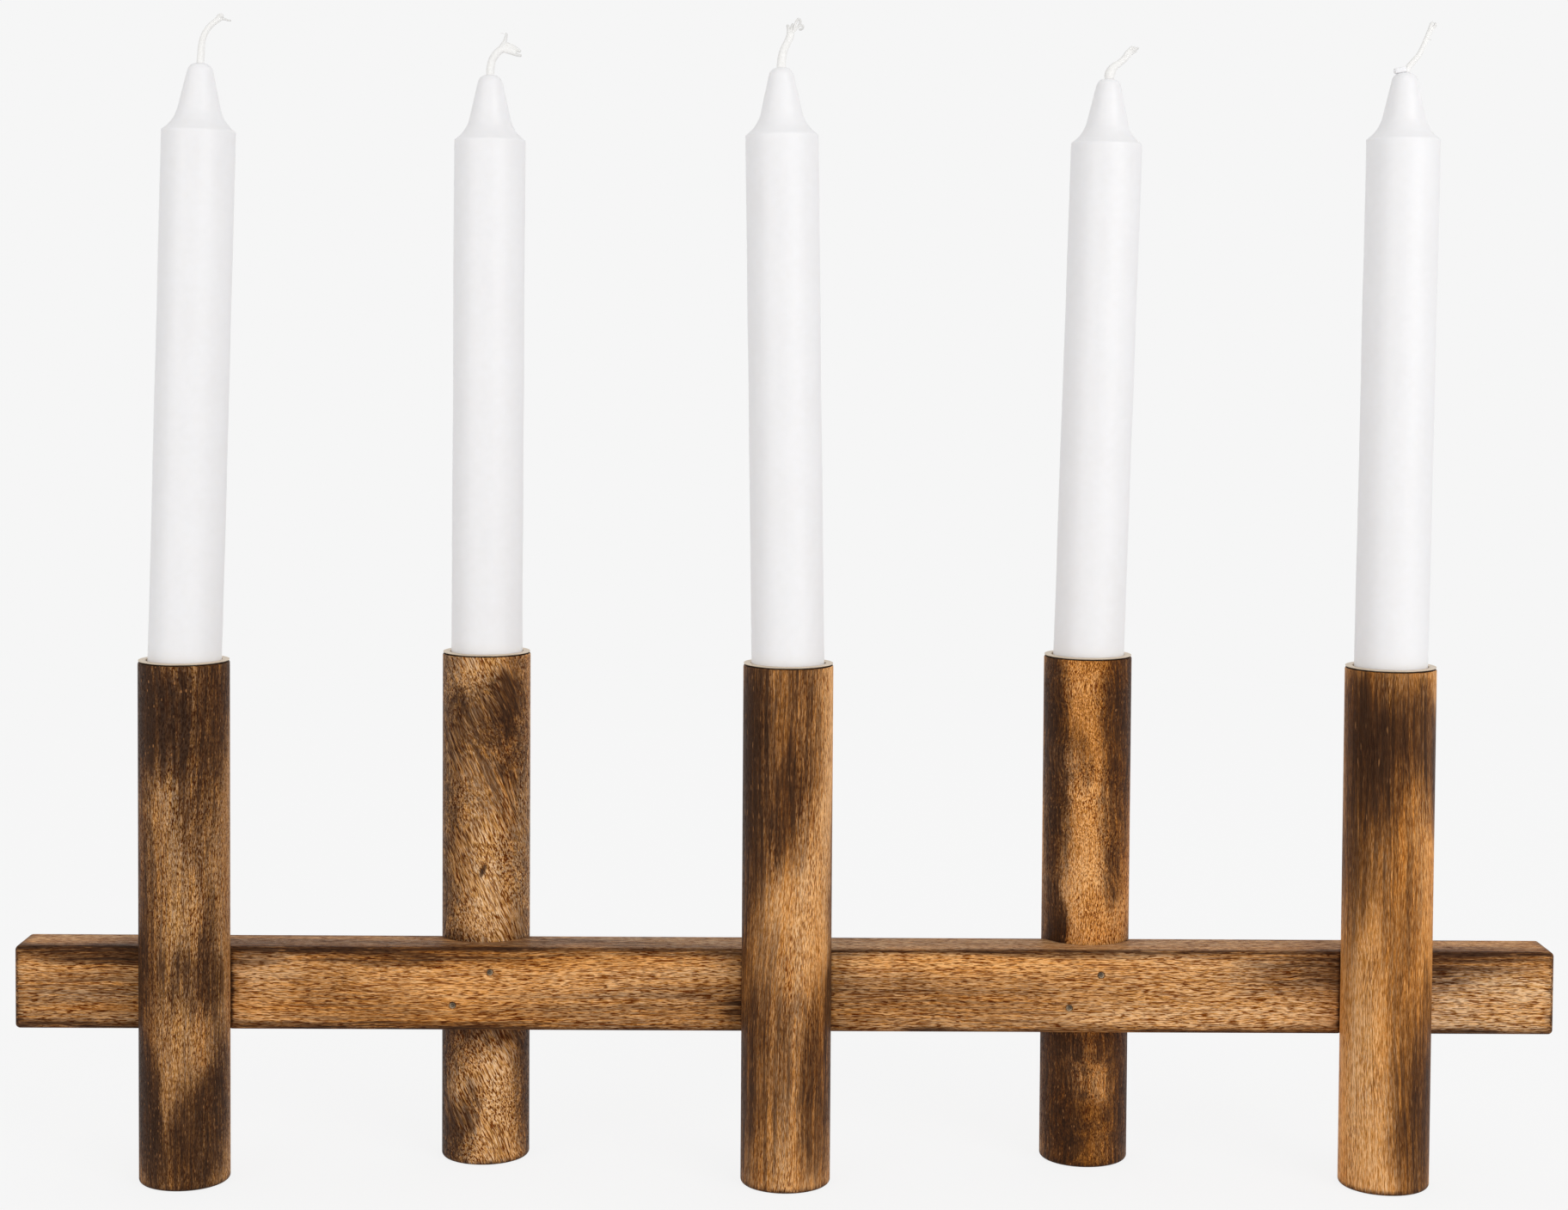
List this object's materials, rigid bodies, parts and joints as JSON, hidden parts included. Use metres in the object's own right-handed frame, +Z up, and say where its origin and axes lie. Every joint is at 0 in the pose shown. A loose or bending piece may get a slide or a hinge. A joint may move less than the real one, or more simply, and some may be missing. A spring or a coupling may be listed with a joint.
{
  "type": "advent candle holder",
  "caption": "Scorched wooden beam with round posts set by turns into its front and back, each holding a taper candle in a flanged metal cup.",
  "frame": {"origin": "on the floor under the middle of the beam, level with the posts' feet", "axes": "+X along the beam to the viewer's right, +Y away from the viewer, +Z up along the posts"},
  "size_m": [0.45, 0.0522, 0.3376],
  "materials": {
    "beam_wood": "scorched and oiled hardwood, satin",
    "post_wood": "scorched and oiled hardwood, satin",
    "nail_steel": "dull dark steel",
    "cup_metal": "warm pale plated metal, satin",
    "wax": "smooth white candle wax, silky",
    "wick_cotton": "braided white cotton"
  },
  "bodies": {
    "holder": {"beam": "beam_wood", "post_1": "post_wood", "nails_1": "nail_steel", "candle_cup_1": "cup_metal", "post_2": "post_wood", "nails_2": "nail_steel", "candle_cup_2": "cup_metal", "post_3": "post_wood", "nails_3": "nail_steel", "candle_cup_3": "cup_metal", "post_4": "post_wood", "nails_4": "nail_steel", "candle_cup_4": "cup_metal", "post_5": "post_wood", "nails_5": "nail_steel", "candle_cup_5": "cup_metal"},
    "candle_1_with_wick": {"candle_1": "wax", "wick_1": "wick_cotton"},
    "candle_2_with_wick": {"candle_2": "wax", "wick_2": "wick_cotton"},
    "candle_3_with_wick": {"candle_3": "wax", "wick_3": "wick_cotton"},
    "candle_4_with_wick": {"candle_4": "wax", "wick_4": "wick_cotton"},
    "candle_5_with_wick": {"candle_5": "wax", "wick_5": "wick_cotton"}
  },
  "joints": [
    {"name": "candle_1_lift", "type": "slide", "parent": "holder", "child": "candle_1_with_wick", "axis": [0.0279, 0, 0.9996], "range_m": [0, 0.03]},
    {"name": "candle_2_lift", "type": "slide", "parent": "holder", "child": "candle_2_with_wick", "axis": [0.0035, 0, 1], "range_m": [0, 0.03]},
    {"name": "candle_3_lift", "type": "slide", "parent": "holder", "child": "candle_3_with_wick", "axis": [-0.0175, 0, 0.9998], "range_m": [0, 0.03]},
    {"name": "candle_4_lift", "type": "slide", "parent": "holder", "child": "candle_4_with_wick", "axis": [0.0244, 0, 0.9997], "range_m": [0, 0.03]},
    {"name": "candle_5_lift", "type": "slide", "parent": "holder", "child": "candle_5_with_wick", "axis": [0.0087, 0, 1], "range_m": [0, 0.03]}
  ]
}
